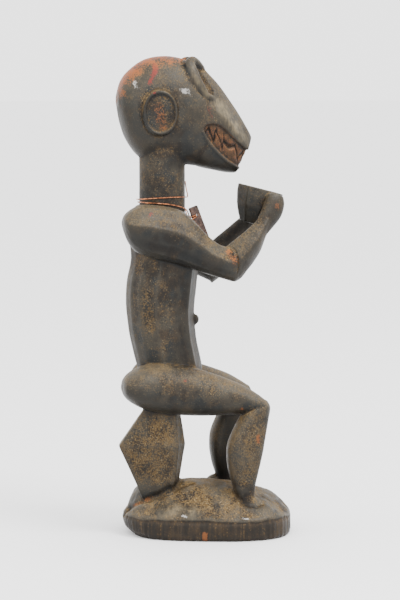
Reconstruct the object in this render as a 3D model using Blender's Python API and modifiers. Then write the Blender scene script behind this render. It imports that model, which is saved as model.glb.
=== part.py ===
"""A carved wooden monkey that sits on a stool pillar and holds out a cup, with a copper wire and pendant.

The figure faces -Y, its right side is -X and +Z is up. The origin lies on the ground under the base.
"""
import math

import bmesh
import bpy
import numpy as np
from mathutils import Matrix, Vector
from mathutils.bvhtree import BVHTree

# Driving sizes, in metres
HEIGHT = 0.55               # ground to the top of the brow
BASE_LENGTH = 0.196
BASE_WIDTH = 0.138
BASE_WALL = 0.022           # upright side of the base
BASE_TURN = math.radians(17)    # the base and the pillar look to the figure's right
CUP_RADIUS = 0.0275         # outside, at the rim
CUP_HEIGHT = 0.041
CUP_WALL = 0.0042
CUP_DEPTH = 0.030
CUP_TILT = math.radians(15)     # the rim is lower at the front
CUP_FLATS = 8
WIRE_DIAMETER = 0.0013
WIRE_CLEARANCE = 0.0005
PENDANT_LENGTH = 0.046
PENDANT_WIDTH = 0.0105
PENDANT_THICKNESS = 0.0055
PENDANT_HOLE = 0.0036
PENDANT_HOLE_DROP = 0.0105  # from the pendant's top end to the middle of its hole
PENDANT_LEAN = math.radians(21)
EAR_RIM = 0.004             # how far the rim of an ear stands out
EAR_DISH = 0.0025
LIP_STEP = 0.003            # how far the teeth lie behind the lips

# The carving is laid out in units of 1/550 of the height: F is forward, Z is up, S is sideways
UNIT = HEIGHT / 550
NECK_RADIUS = 26
NECK_F = -49
CUP_F = 67
CUP_RIM_Z = 396
PILLAR_F = -61
BASE_F = 3
BASE_CROWN = 58             # height of the base's main swelling
LOBE_FOOT = 14
PENDANT_SPOT = (-9.5, 366.5)    # the middle of the pendant's hole
GRIP = CUP_RADIUS / UNIT + 3    # how far the middle of a hand is from the figure's plane

# Each row: upper (or rear) F and Z, lower (or front) F and Z, S of the middle, half width
CRANIUM = [
    (-101, 506, -101, 492, 0, 9), (-96, 521, -96, 468, 0, 20), (-86, 533, -88, 449, 0, 27.5),
    (-68, 544.5, -74, 433, 0, 32), (-46, 548, -50, 426, 0, 34), (-26, 545, -24, 425, 0, 33.5),
    (-12, 538, -4, 423, 0, 31.5), (-3, 526, 8, 425, 0, 27.5), (6, 508, 16, 434, 0, 20),
]
MUZZLE = [
    (-20, 534, -20, 428, 0, 27), (-5, 536, -6, 422, 0, 29), (7, 526, 10, 418.5, 0, 28),
    (18, 514, 22, 416, 0, 26), (29, 499, 31, 415, 0, 22.5), (40, 483, 35, 415, 0, 18.5),
    (48, 470, 37, 416, 0, 15.5), (55, 457, 39.5, 420, 0, 12.5), (54, 451, 42, 424, 0, 9),
]
TORSO = [
    (-74, 176, -2, 172, 0, 33), (-80, 200, -3, 196, 0, 33.5), (-87, 230, -9, 226, 0, 34),
    (-91, 264, -11.5, 256, 0, 35), (-90, 292, -9, 284, 0, 36), (-85, 316, -7, 308, 0, 37),
    (-86, 336, -7, 330, 0, 38), (-84, 358, -12, 349, 0, 38), (-80, 371, -20, 361, 0, 34),
    (-75, 379, -30, 368, 0, 26),
]
YOKE = [
    (-86, 358, -86, 348, 0, 14), (-84, 363, -84, 341, 0, 27), (-79, 368, -80, 334, 0, 38),
    (-71, 373, -74, 328, 0, 47), (-59, 376, -65, 323, 0, 53), (-45, 373, -55, 320, 0, 54),
    (-32, 364, -42, 320, 0, 47),
]
PELVIS = [
    (-87, 172, -87, 163, 0, 15), (-84, 177, -84, 157, 0, 28), (-79, 181, -79, 152, 0, 38),
    (-71, 184, -70, 147, 0, 46), (-56, 187, -53, 142, 0, 51), (-35, 187, -30, 140, 0, 48),
]
UPPER_ARM = [
    (-102, 366, -102, 356, 40, 9), (-99.5, 371, -99.5, 348, 40, 15.5), (-93, 376.5, -95, 338, 39.5, 20),
    (-80, 381.5, -86, 328, 39, 23), (-57, 380, -67, 321, 38.5, 24), (-34, 374, -47, 316, 38.5, 23),
    (-19, 361, -25, 309, 40, 21.5), (-5, 346, -5, 302, 42, 19), (8, 336, 12, 297, 44, 16),
    (22, 331, 26, 293.5, 44.5, 14), (31, 322, 32, 300, 44.5, 10),
]
# Half of the upper arm's section, up and across: its outer side has a ridge between two planes
ARM_HALF = [(1, 0), (0.9, 0.38), (0.56, 0.72), (0.14, 1), (-0.36, 0.84), (-0.78, 0.52), (-0.96, 0.22), (-1, 0)]
FOREARM = [
    (10, 325, 26, 293, 44, 12), (17, 334, 33, 297, 44, 14.5), (26, 341, 39, 304, 43.5, 15),
    (38, 350, 48, 315, 42.5, 14.5), (49, 359, 57, 328, 40, 12.5), (57, 366, 63, 342, GRIP + 6.5, 10.5),
    (62, 373, 69, 352, GRIP + 4, 9.5),
]
HAND = [
    (55, 364, 62, 343, GRIP + 5, 9), (60, 374, 72, 353, GRIP + 2.5, 9.5), (64, 384, 83, 366, GRIP, 9.2),
    (68, 391, 87, 379, GRIP - 1, 7.5), (74, 394, 86, 388, GRIP - 1.5, 5.5),
]
THIGH = [
    (-102, 179, -102, 170, 33, 9), (-99.5, 185.5, -99, 163.5, 33, 16.5), (-93, 192, -91, 156.5, 32.5, 22),
    (-81, 198, -77, 149.5, 32, 26), (-63, 200, -55, 144, 31.5, 27.5), (-34, 198.5, -28, 140.8, 32, 27.5),
    (-10, 192.5, -5, 140, 33.5, 26), (14, 184, 14, 140.4, 36.5, 23.5), (37, 174, 36, 142, 40, 20),
    (53, 164, 51, 143, 42.5, 17), (61.5, 157.5, 57, 146, 43.5, 14.5),
]
SHIN = [
    (48, 156.5, 63.5, 157, 43.5, 11), (41, 149, 66.5, 151, 43.5, 16), (33, 138, 66.5, 145, 43.5, 17),
    (25, 124, 64.5, 134, 44, 16.5),
    (18, 107, 60, 107, 44.5, 16.5), (17, 90, 57, 92, 45, 16), (20, 72, 53, 76, 45.5, 14.5),
    (25, 55, 49, 58, 46, 12.5), (29, 28, 45, 28, 46, 11),
]
FOOT = [
    (28, 54, 28, 34, 46, 8), (38, 54, 38, 28, 46, 11), (51, 45, 50, 24, 46.5, 12),
    (61, 37, 60, 22, 47, 10), (66, 32, 65, 22, 47.5, 6),
]
# The body turns a little to its right, so its left shoulder and hip lie further forward. The left elbow
# hangs lower and the left knee stands higher than those on the right: F and Z
LEFT_SHOULDER = (29, -5)
LEFT_HIP = (27, -6)
LEFT_ELBOW = (-7, -9)
LEFT_KNEE = (0, 6)
STILL = (0, 0)
BODY_TURN = math.radians(16.7)  # how far the shoulders and hips are turned to the right
LEFT_HEEL = (23, 50, 45)    # a knob behind the left ankle: F, Z and S, then its radii
LEFT_HEEL_RADII = (9, 10, 8)
NAVEL = (-11, 247, 0)
NAVEL_RADII = (4, 5, 6)
EAR = (-58, 484, 31)
EAR_RADII = (19.5, 25)      # forward and up
EAR_DISH_RADII = (15, 20)
NECK_ENDS = (350, 458)      # heights, both inside other forms
MOUTH_REACH = 45            # how far to each side the mouth's opening is cut
# The pillar's rows lie along the turned base: rear, front, height, half width
PILLAR = [
    (0, 28, 166, 23), (-6, 31, 150, 24), (-37, 38, 105, 29), (-16, 30.5, 59, 25), (-8, 28, 30, 22),
]
# The lobes of the base, along its turned length: forward, sideways, half length, half width, top
LOBES = [
    (-50, 0, 47, 57, 61), (-8, -9, 64, 54, 61.5), (50, 3, 44, 54, 50),
]
# The brow and lid, one ridge from the forehead to the cheek: F, Z, S, thickness, and how much wider it is
BROW = [
    (-4, 532, 0, 5.4, 1), (-10, 538.5, 6, 5.2, 1.1), (-16.5, 541.5, 13, 4.5, 1.35),
    (-20.5, 538, 19.5, 3.8, 1.7), (-19.5, 530, 24, 3.3, 2.1), (-15.5, 520, 26.8, 2.9, 2.35),
    (-9.5, 511, 27.6, 2.4, 2.35), (-2.5, 504, 26.4, 1.8, 2.1), (5.5, 499.8, 23.6, 1.1, 1.7),
]
MOUTH = [
    (-8, 466), (-4, 471), (4, 472.5), (14, 470), (24, 462), (35, 452), (46, 443), (62, 437),
    (62, 421), (40, 421), (33, 424), (24, 429), (14, 437), (5, 446), (-3, 456),
]
SIDE_TEETH = 6              # on each side of the mouth, above and below
FRONT_TEETH = 3
TOOTH_RAISE = 0.0014

WOOD = (0.085, 0.062, 0.042, 1.0)
COPPER = (0.72, 0.36, 0.22, 1.0)
AMULET = (0.17, 0.105, 0.08, 1.0)


def clear_scene():
    for item in list(bpy.data.objects):
        bpy.data.objects.remove(item, do_unlink=True)


def make_collection(name):
    collection = bpy.data.collections.new(name)
    bpy.context.scene.collection.children.link(collection)
    return collection


def make_material(name, color, roughness, metallic):
    material = bpy.data.materials.new(name)
    material.use_nodes = True
    shader = material.node_tree.nodes["Principled BSDF"]
    shader.inputs["Base Color"].default_value = color
    shader.inputs["Roughness"].default_value = roughness
    shader.inputs["Metallic"].default_value = metallic
    return material


def point(f, z, s=0.0):
    """World place of a point of the carving, from its units."""
    return Vector((s, -f, z)) * UNIT


def add_object(name, mesh, collection, guide=False):
    item = bpy.data.objects.new(name, mesh)
    collection.objects.link(item)
    if guide:
        item.hide_render = True
        item.display_type = "WIRE"
    return item


def smooth_rows(rows, steps=2):
    """Rows read at equal steps from the curve that passes through the given ones."""
    rows = np.array(rows, float)
    ends = np.vstack([2 * rows[0] - rows[1], rows, 2 * rows[-1] - rows[-2]])
    result = []
    for before, here, there, after in zip(ends, ends[1:], ends[2:], ends[3:]):
        for t in np.arange(steps) / steps:
            bend = (2 * before - 5 * here + 4 * there - after) * t ** 2
            turn = (3 * here - before - 3 * there + after) * t ** 3
            result.append((2 * here + (there - before) * t + bend + turn) / 2)
    result.append(rows[-1])
    return np.array(result)


def oval(sides, power=2.0):
    """Points round an oval, as up and across: a power of 2 is an ellipse, 1 a lozenge, over 3 boxy."""
    turn = np.arange(sides) * 2 * math.pi / sides
    up = np.sign(np.sin(turn)) * np.abs(np.sin(turn)) ** (2 / power)
    across = np.sign(np.cos(turn)) * np.abs(np.cos(turn)) ** (2 / power)
    return np.column_stack([up, across])


def mirrored(half):
    """A whole outline from its half at +across, whose first and last points are on the middle line."""
    half = np.array(half, float)
    other = half[-2:0:-1] * (1, -1)
    return np.vstack([half, other])


def skin(name, rings):
    """A closed mesh over a stack of rings with the same number of points, flat at both ends."""
    shape = bmesh.new()
    loops = [[shape.verts.new(place) for place in ring] for ring in rings]
    for low, high in zip(loops, loops[1:]):
        for k in range(len(low)):
            n = (k + 1) % len(low)
            shape.faces.new((low[k], low[n], high[n], high[k]))
    shape.faces.new(loops[0])
    shape.faces.new(loops[-1])
    bmesh.ops.recalc_face_normals(shape, faces=shape.faces)
    mesh = bpy.data.meshes.new(name)
    shape.to_mesh(mesh)
    shape.free()
    smooth(mesh)
    return mesh


def loft(name, rows, section, side=1, pinch=0.0, skew=0.0):
    """A form lofted through rows; a pinch narrows the section's upper half, a skew brings the left forward."""
    up, across = section.T
    rings = []
    for f0, z0, f1, z1, s, width in rows:
        f = (f0 + f1) / 2 + up * (f0 - f1) / 2
        z = (z0 + z1) / 2 + up * (z0 - z1) / 2
        narrow = 1 - pinch * np.clip((up - 0.25) / 0.75, 0, 1)
        x = side * (s + across * width * narrow)
        rings.append(np.column_stack([x, -f - skew * x, z]) * UNIT)
    return skin(name, rings)


def turned_along_base(places):
    """Places given along the base's own length, turned to where the base looks."""
    return np.array(places) @ np.array(Matrix.Rotation(-BASE_TURN, 3, "Z")).T


def base_outline(length, width, sides, power=2.7):
    up, across = oval(sides, power).T
    return across * width / 2, -up * length / 2


def base_mesh():
    """The slab of the base and its main swelling. The underside stops short of the worn rear end."""
    sides = 32
    x, y = base_outline(BASE_LENGTH, BASE_WIDTH, sides)
    crown = BASE_CROWN * UNIT - BASE_WALL
    rings = []
    rear = np.clip(y / (BASE_LENGTH / 2), 0, 1) ** 2
    rings.append(np.column_stack([x * 0.98, y * (0.985 - 0.14 * rear), np.zeros(sides)]))
    rings.append(np.column_stack([x, y * (1 - 0.03 * rear), BASE_WALL * (0.14 + 0.3 * rear)]))
    for share in (1, 0.97, 0.9, 0.78, 0.62, 0.42, 0.2):
        rise = (1 - share ** 2.6) ** 0.9
        lift = 0.86 if share == 1 else 1.0
        height = np.full(sides, BASE_WALL * lift + crown * rise)
        rings.append(np.column_stack([x * share, y * share, height]))
    middle = np.array([0, -BASE_F * UNIT, 0])
    return skin("base_slab", [turned_along_base(ring) + middle for ring in rings])


def lobe_mesh(f, s, length, width, top):
    """One swelling of the base, from inside the slab up to its own top."""
    sides = 18
    up, across = oval(sides, 2.5).T
    rings = []
    for share in (1, 0.9, 0.74, 0.54, 0.3, 0.1):
        height = np.full(sides, LOBE_FOOT + (top - LOBE_FOOT) * (1 - share ** 3.2) ** 0.9)
        rings.append(np.column_stack([s + across * width * share, -f - up * length * share, height]) * UNIT)
    middle = np.array([0, -BASE_F * UNIT, 0])
    return skin("base_lobe", [turned_along_base(ring) + middle for ring in rings])


def pillar_mesh():
    """The stool pillar: a six-sided outline from the side, with a point at the rear and a ridge in front."""
    section = mirrored([(1, 0), (0.87, 0.94), (-0.95, 1), (-1, 0.6), (-1, 0)])
    forward, across = section.T
    rings = []
    for rear, front, height, width in PILLAR:
        y = -((front + rear) / 2 + forward * (front - rear) / 2)
        ring = np.column_stack([across * width, y, np.full(len(y), height)]) * UNIT
        rings.append(turned_along_base(ring) + np.array([0, -PILLAR_F * UNIT, 0]))
    return skin("pillar", rings)


def ball(name, middle, radii, collection, segments=16, rings=8):
    """An egg with three radii, all in metres."""
    bpy.ops.mesh.primitive_uv_sphere_add(segments=segments, ring_count=rings, radius=1)
    item = bpy.context.object
    item.name = name
    item.data.transform(Matrix.Diagonal((*radii, 1)))
    smooth(item.data)
    item.location = middle
    item.hide_render = True
    item.display_type = "WIRE"
    move_to(item, collection)
    return item


def move_to(item, collection):
    for home in list(item.users_collection):
        home.objects.unlink(item)
    collection.objects.link(item)


def tube_mesh(name, rows, sides=7):
    """A ridge along rows of F, Z, S and thickness, with an oval section that is wider by the last value."""
    rows = smooth_rows(rows)
    places = [point(*row[:3]) for row in rows.tolist()]
    rings = []
    across = Vector((1, 0, 0))
    for k, place in enumerate(places):
        heading = (places[min(k + 1, len(places) - 1)] - places[max(k - 1, 0)]).normalized()
        side = across - heading * across.dot(heading)
        side.normalize()
        other = heading.cross(side)
        radius = float(rows[k][3]) * UNIT
        wide = float(rows[k][4])
        turns = [2 * math.pi * n / sides for n in range(sides)]
        rings.append([place + radius * (side * math.cos(t) + other * wide * math.sin(t)) for t in turns])
    return skin(name, rings)


def plate_mesh(name, outline, half_width):
    """A flat outline in the figure's plane, thickened to both sides."""
    rings = [[point(f, z, s) for f, z in outline] for s in (-half_width, half_width)]
    return skin(name, rings)


def cup_frame():
    place = Matrix.Translation(point(CUP_F, CUP_RIM_Z))
    return place @ Matrix.Rotation(CUP_TILT, 4, "X")


def turned_form(name, profile, steps, place, collection):
    """A turned solid from its profile of radius and height, top to bottom."""
    mesh = bpy.data.meshes.new(name)
    edges = [(k, k + 1) for k in range(len(profile) - 1)]
    mesh.from_pydata([(r, 0, z) for r, z in profile], edges, [])
    item = add_object(name, mesh, collection, guide=True)
    screw = item.modifiers.new("turn", "SCREW")
    screw.steps = steps
    screw.render_steps = steps
    screw.use_merge_vertices = True
    screw.merge_threshold = 0.0001
    item.matrix_world = place
    return item


def smooth(mesh, degrees=32):
    mesh.shade_smooth()
    mesh.set_sharp_from_angle(angle=math.radians(degrees))


def inset(rows, step):
    """The same rows, everywhere nearer to the middle by a step."""
    result = []
    for f0, z0, f1, z1, s, width in rows:
        share = step / math.hypot(f0 - f1, z0 - z1)
        f_step, z_step = (f0 - f1) * share, (z0 - z1) * share
        result.append((f0 - f_step - step, z0 - z_step, f1 + f_step - step, z1 + z_step, s, width - step))
    return result


def shifted(rows, first, last):
    """Rows whose points are moved forward and up, as given for the first row and for the last one."""
    result = []
    for row, share in zip(rows, np.linspace(0, 1, len(rows))):
        f, z = np.array(first) * (1 - share) ** 2 + np.array(last) * share ** 2
        result.append((row[0] + f, row[1] + z, row[2] + f, row[3] + z, *row[4:]))
    return result


def make_teeth(gum, collection):
    """Two rows of pointed teeth that interlock, on the wall that the open lips show."""
    tree = BVHTree.FromBMesh(bmesh_of(gum))
    shape = bmesh.new()
    upper = np.array([(-5, 470), (4, 471.5), (14, 469), (24, 461), (35, 451), (45, 443.5)], float)
    lower = np.array([(-4, 457), (5, 447), (14, 438), (24, 430), (33, 425), (40, 422)], float)

    def along(line, share):
        spot = share * (len(line) - 1)
        low = min(int(spot), len(line) - 2)
        return line[low] + (line[low + 1] - line[low]) * (spot - low)

    def add_tooth(corners, origin_of, heading):
        places = []
        for corner in corners:
            hit = tree.ray_cast(origin_of(corner), heading)[0]
            if hit is None:
                return
            places.append(hit)
        outer = [shape.verts.new(p - heading * TOOTH_RAISE) for p in places]
        inner = [shape.verts.new(p + heading * TOOTH_RAISE) for p in places]
        shape.faces.new(outer)
        shape.faces.new(inner)
        for k in range(3):
            n = (k + 1) % 3
            shape.faces.new((outer[k], outer[n], inner[n], inner[k]))

    for side in (-1, 1):
        heading = Vector((-side, 0, 0))
        for k in range(SIDE_TEETH):
            for row, other, shift in ((upper, lower, 0.0), (lower, upper, 0.45)):
                first, last = (k + shift + 0.06) / (SIDE_TEETH + 0.5), (k + shift + 0.94) / (SIDE_TEETH + 0.5)
                tip = along(row, (first + last) / 2) * 0.3 + along(other, (first + last) / 2) * 0.7
                corners = [along(row, first), along(row, last), tip]
                add_tooth(corners, lambda c, x=side * 60: point(c[0], c[1], x), heading)
    for k in range(FRONT_TEETH):
        for base_z, tip_z, shift in ((442, 429, 0.0), (423, 436, 0.5)):
            left = (k + shift - FRONT_TEETH / 2 - 0.2) * 5.0
            corners = [(left, base_z), (left + 4.4, base_z), (left + 2.2, tip_z)]
            add_tooth(corners, lambda c: point(90, c[1], c[0]), Vector((0, 1, 0)))
    bmesh.ops.recalc_face_normals(shape, faces=shape.faces)
    mesh = bpy.data.meshes.new("teeth")
    shape.to_mesh(mesh)
    shape.free()
    add_object("teeth", mesh, collection, guide=True)


def bmesh_of(mesh):
    shape = bmesh.new()
    shape.from_mesh(mesh)
    return shape


def add_boolean(item, name, operation, guide=None, group=None):
    modifier = item.modifiers.new(name, "BOOLEAN")
    modifier.operation = operation
    modifier.solver = "EXACT"
    if group:
        modifier.operand_type = "COLLECTION"
        modifier.collection = group
    else:
        modifier.object = guide


def make_figure(parts, forms, openings, guides):
    """The one carved solid: every form is joined, then the hollows are cut."""
    head = add_object("carved_figure", loft("carved_figure", smooth_rows(CRANIUM), oval(20, 2.15)), parts)
    muzzle = add_object("muzzle", loft("muzzle", MUZZLE, oval(20, 2.5), pinch=0.55),
                        guides, guide=True)
    mouth = add_object("mouth_opening", plate_mesh("mouth_opening", MOUTH, MOUTH_REACH), guides, guide=True)

    gum = loft("gum", inset(MUZZLE, LIP_STEP / UNIT), oval(16, 2.5), pinch=0.55)
    add_object("gum", gum, forms, guide=True)
    make_teeth(gum, forms)

    torso_half = [(1, 0), (0.64, 0.97), (0.3, 1.02), (-0.3, 1.0), (-0.72, 0.8), (-0.94, 0.4), (-1, 0)]
    torso_section = mirrored(torso_half)
    add_object("torso", loft("torso", smooth_rows(TORSO), -torso_section), forms, guide=True)
    brow = [(f, z, -s, *size) for f, z, s, *size in BROW[:0:-1]] + BROW
    add_object("brow", tube_mesh("brow", brow), forms, guide=True)
    skew = math.tan(BODY_TURN)
    neck_rows = [(NECK_F + NECK_RADIUS, z, NECK_F - NECK_RADIUS, z, 0, NECK_RADIUS) for z in NECK_ENDS]
    add_object("neck", loft("neck", neck_rows, oval(24)), forms, guide=True)
    add_object("yoke", loft("yoke", YOKE, oval(18, 2.1), skew=skew), forms, guide=True)
    add_object("pelvis", loft("pelvis", PELVIS, oval(18, 2.2), skew=skew), forms, guide=True)
    add_object("pillar", pillar_mesh(), forms, guide=True)
    add_object("base_slab", base_mesh(), forms, guide=True)
    for k, lobe in enumerate(LOBES):
        add_object(f"base_lobe_{k}", lobe_mesh(*lobe), forms, guide=True)
    ball("navel", point(*NAVEL), np.array(NAVEL_RADII) * UNIT, forms, 10, 6)
    ball("left_heel", point(*LEFT_HEEL), np.array(LEFT_HEEL_RADII) * UNIT, forms, 10, 6)

    limbs = {
        "upper_arm": (UPPER_ARM, mirrored(ARM_HALF), 1, LEFT_SHOULDER, LEFT_ELBOW),
        "forearm": (FOREARM, oval(14, 1.45), 1, LEFT_ELBOW, STILL),
        "hand": (HAND, oval(12, 2.3), 1, STILL, STILL),
        "thigh": (THIGH, oval(16), 1, LEFT_HIP, LEFT_KNEE),
        "shin": (SHIN, oval(14, 2.6), 1, LEFT_KNEE, STILL),
        "foot": (FOOT, oval(12, 2.2), 1, STILL, STILL),
    }
    for side, which in ((-1, "right"), (1, "left")):
        for limb, (rows, section, steps, first, last) in limbs.items():
            name = f"{which}_{limb}"
            if side > 0:
                rows = shifted(rows, first, last)
            add_object(name, loft(name, smooth_rows(rows, steps), section, side), forms, guide=True)
        ear_f, ear_z, ear_s = EAR
        rim = (EAR_RIM * 2, *(radius * UNIT for radius in EAR_RADII))
        ball(f"{which}_ear", point(ear_f, ear_z, side * ear_s), rim, forms, 16, 10)
        dish = (EAR_DISH * 2, *(radius * UNIT for radius in EAR_DISH_RADII))
        beyond = ear_s + (EAR_RIM * 2 + EAR_DISH) / UNIT
        ball(f"{which}_ear_dish", point(ear_f, ear_z, side * beyond), dish, openings)

    profile = [(0, 0), (1, 0), (0.965, 0.24), (0.86, 0.53), (0.68, 0.8), (0.53, 1), (0, 1)]
    outside = [(CUP_RADIUS * r, -CUP_HEIGHT * d) for r, d in profile]
    quarter = Matrix.Rotation(math.pi / CUP_FLATS, 4, "Z")
    turned_form("cup", outside, CUP_FLATS, cup_frame() @ quarter, forms)
    flat = math.cos(math.pi / CUP_FLATS)
    # The hollow's cutter runs on above the rim at the same slope, with no ring in the rim's own plane
    above = 0.004
    below, deep = profile[2]
    flare = CUP_RADIUS * flat * (1 - below) / (deep * CUP_HEIGHT)
    inside = [(0, above), (CUP_RADIUS * flat - CUP_WALL + flare * above, above)]
    for r, d in profile[2:-2]:
        if d * CUP_HEIGHT < CUP_DEPTH * 0.95:
            inside.append((CUP_RADIUS * r * flat - CUP_WALL, -CUP_HEIGHT * d))
    inside.append((CUP_RADIUS * 0.56 * flat - CUP_WALL / 2, -CUP_DEPTH))
    inside.append((0, -CUP_DEPTH))
    turned_form("cup_hollow", inside, 24, cup_frame(), openings)
    return head, muzzle, mouth


def pendant_frame():
    """The pendant's place: its origin is the middle of the hole, and its long side leans forward below."""
    return Matrix.Translation(point(*PENDANT_SPOT)) @ Matrix.Rotation(-PENDANT_LEAN, 4, "X")


def make_pendant(parts, guides):
    bpy.ops.mesh.primitive_cube_add(size=1)
    pendant = bpy.context.object
    pendant.name = "neck_pendant"
    pendant.data.transform(Matrix.Diagonal((PENDANT_THICKNESS, PENDANT_WIDTH, PENDANT_LENGTH, 1)))
    pendant.data.transform(Matrix.Translation((0, 0, PENDANT_HOLE_DROP - PENDANT_LENGTH / 2)))
    pendant.matrix_world = pendant_frame()
    move_to(pendant, parts)
    bevel = pendant.modifiers.new("worn_edges", "BEVEL")
    bevel.width = min(PENDANT_THICKNESS, PENDANT_WIDTH) * 0.18
    bevel.segments = 2

    bpy.ops.mesh.primitive_cylinder_add(vertices=16, radius=PENDANT_HOLE / 2, depth=PENDANT_THICKNESS * 2)
    drill = bpy.context.object
    drill.name = "pendant_hole"
    drill.data.transform(Matrix.Rotation(math.pi / 2, 4, "Y"))
    drill.matrix_world = pendant_frame()
    drill.hide_render = True
    drill.display_type = "WIRE"
    move_to(drill, guides)
    add_boolean(pendant, "hole", "DIFFERENCE", guide=drill)
    return pendant


def round_neck(degrees, away, z):
    """A place on the wire's way round the neck: the angle runs from the front over the right side."""
    reach = (NECK_RADIUS + away) * UNIT + WIRE_CLEARANCE + WIRE_DIAMETER / 2
    turn = math.radians(degrees)
    side, forward = -reach * math.sin(turn), reach * math.cos(turn)
    return Vector((side, -NECK_F * UNIT - forward, z * UNIT))


def through_pendant(x, back, up):
    """A place near the pendant's hole: back is towards its rear edge, up is along it, all in metres."""
    return pendant_frame() @ Vector((x, back, up))


def wire_route():
    """The places that the wire passes, from its free end, twice round the neck, to its hidden end."""
    beside = PENDANT_THICKNESS / 2 + WIRE_DIAMETER / 2 + WIRE_CLEARANCE * 1.6
    behind = PENDANT_WIDTH / 2 + WIRE_DIAMETER / 2 + WIRE_CLEARANCE * 1.2
    lane = (WIRE_DIAMETER + WIRE_CLEARANCE) / 2
    bulge = WIRE_DIAMETER + WIRE_CLEARANCE * 2
    route = [point(-22.6, 406, -3), point(-21.6, 398, -3), point(-20.2, 391.5, -3.2), point(-20.4, 388.3, -4.6)]
    route += [round_neck(*row) for row in (
        (24, 0.6, 388.2), (55, 0.2, 388.8), (90, 0.2, 388.6), (125, 0.4, 387.5), (155, 1.2, 386.4),
        (180, 1.9, 385.8), (205, 1.2, 385), (235, 0.4, 383.6), (270, 0.2, 382), (300, 0.5, 379.5),
        (322, 1.6, 376.5), (340, 4.2, 372.5))]
    route += [
        through_pendant(beside + bulge, behind + bulge, lane * 1.6),
        through_pendant(beside + bulge * 0.6, behind * 0.45, lane),
        through_pendant(beside * 0.6, 0, lane),
        through_pendant(-beside * 0.6, 0, lane),
        through_pendant(-beside, behind * 0.45, lane),
        through_pendant(-beside * 0.7, behind, lane * 0.6),
        through_pendant(beside * 0.7, behind, -lane * 0.6),
        through_pendant(beside, behind * 0.45, -lane),
        through_pendant(beside * 0.6, 0, -lane),
        through_pendant(-beside * 0.6, 0, -lane),
        through_pendant(-beside - bulge * 0.6, behind * 0.45, -lane),
        through_pendant(-beside - bulge, behind + bulge, -lane * 1.6),
    ]
    route += [round_neck(*row) for row in (
        (25, 2.4, 372.5), (50, 0.5, 377.5), (90, 0.3, 381.2), (135, 0.4, 382.4), (180, 1.0, 382.6),
        (225, 0.4, 380.6), (270, 0.2, 378.8), (310, 0.3, 375.5), (335, 0.5, 372.8))]
    return route


def make_wire(parts):
    """One copper wire, a smooth curve through its route, as a round bar."""
    places = smooth_rows([tuple(place) for place in wire_route()])
    curve = bpy.data.curves.new("neck_wire", "CURVE")
    curve.dimensions = "3D"
    spline = curve.splines.new("POLY")
    spline.points.add(len(places) - 1)
    for spot, place in zip(spline.points, places):
        spot.co = (*place, 1)
    curve.bevel_depth = WIRE_DIAMETER / 2
    curve.bevel_resolution = 2
    curve.use_fill_caps = True
    return add_object("neck_wire", curve, parts)


def main():
    clear_scene()
    parts = make_collection("monkey_figure")
    forms = make_collection("joined_forms")
    openings = make_collection("cut_last")
    guides = make_collection("guides")

    figure, muzzle, mouth = make_figure(parts, forms, openings, guides)
    add_boolean(figure, "muzzle", "UNION", guide=muzzle)
    add_boolean(figure, "mouth", "DIFFERENCE", guide=mouth)
    add_boolean(figure, "forms", "UNION", group=forms)
    add_boolean(figure, "hollows", "DIFFERENCE", group=openings)
    pendant = make_pendant(parts, guides)
    wire = make_wire(parts)

    figure.data.materials.append(make_material("dark_wood", WOOD, 0.62, 0.0))
    pendant.data.materials.append(make_material("amulet_wood", AMULET, 0.55, 0.0))
    wire.data.materials.append(make_material("copper", COPPER, 0.35, 1.0))


main()
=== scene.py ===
# A carved wooden monkey on a stool pillar that holds out a cup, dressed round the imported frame
import math

import bpy
import numpy as np
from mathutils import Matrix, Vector


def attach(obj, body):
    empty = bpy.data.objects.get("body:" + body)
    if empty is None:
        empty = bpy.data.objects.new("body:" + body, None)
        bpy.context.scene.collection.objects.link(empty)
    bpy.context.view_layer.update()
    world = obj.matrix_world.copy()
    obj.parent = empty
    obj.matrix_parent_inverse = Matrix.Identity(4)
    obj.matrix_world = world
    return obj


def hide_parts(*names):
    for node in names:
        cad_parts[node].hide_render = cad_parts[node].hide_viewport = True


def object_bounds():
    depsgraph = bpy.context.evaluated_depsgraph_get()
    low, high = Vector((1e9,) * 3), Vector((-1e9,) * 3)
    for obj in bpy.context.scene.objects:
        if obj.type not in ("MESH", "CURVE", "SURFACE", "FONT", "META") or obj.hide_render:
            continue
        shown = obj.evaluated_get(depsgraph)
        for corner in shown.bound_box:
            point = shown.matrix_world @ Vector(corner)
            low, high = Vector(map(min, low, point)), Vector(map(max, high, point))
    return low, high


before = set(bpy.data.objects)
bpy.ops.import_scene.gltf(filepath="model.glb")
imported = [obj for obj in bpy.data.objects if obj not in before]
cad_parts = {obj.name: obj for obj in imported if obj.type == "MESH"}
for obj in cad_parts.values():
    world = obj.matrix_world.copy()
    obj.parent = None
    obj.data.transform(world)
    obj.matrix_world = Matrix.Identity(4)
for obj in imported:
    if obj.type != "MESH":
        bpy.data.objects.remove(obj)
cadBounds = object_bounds()
mm = 0.001
print("frame loaded")


# Every form is worked out as whole arrays of F forward, Z up and S sideways, in mm

# A smooth curve through rows of numbers: in each span it is the cubic whose slopes at both ends are
# half the difference of the rows on either side
def curveThrough(rows, perSpan=12):
    rows = np.array(rows, float)
    ends = np.vstack([2 * rows[0] - rows[1], rows, 2 * rows[-1] - rows[-2]])
    spans = len(rows) - 1
    place = np.linspace(0, spans, spans * perSpan + 1)
    k = np.minimum(place.astype(int), spans - 1)
    t = (place - k)[:, None]
    a, b, c, d = ends[k], ends[k + 1], ends[k + 2], ends[k + 3]
    bend = (2 * a - 5 * b + 4 * c - d) * t ** 2 + (3 * b - a - 3 * c + d) * t ** 3
    return b + ((c - a) * t + bend) / 2


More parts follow.
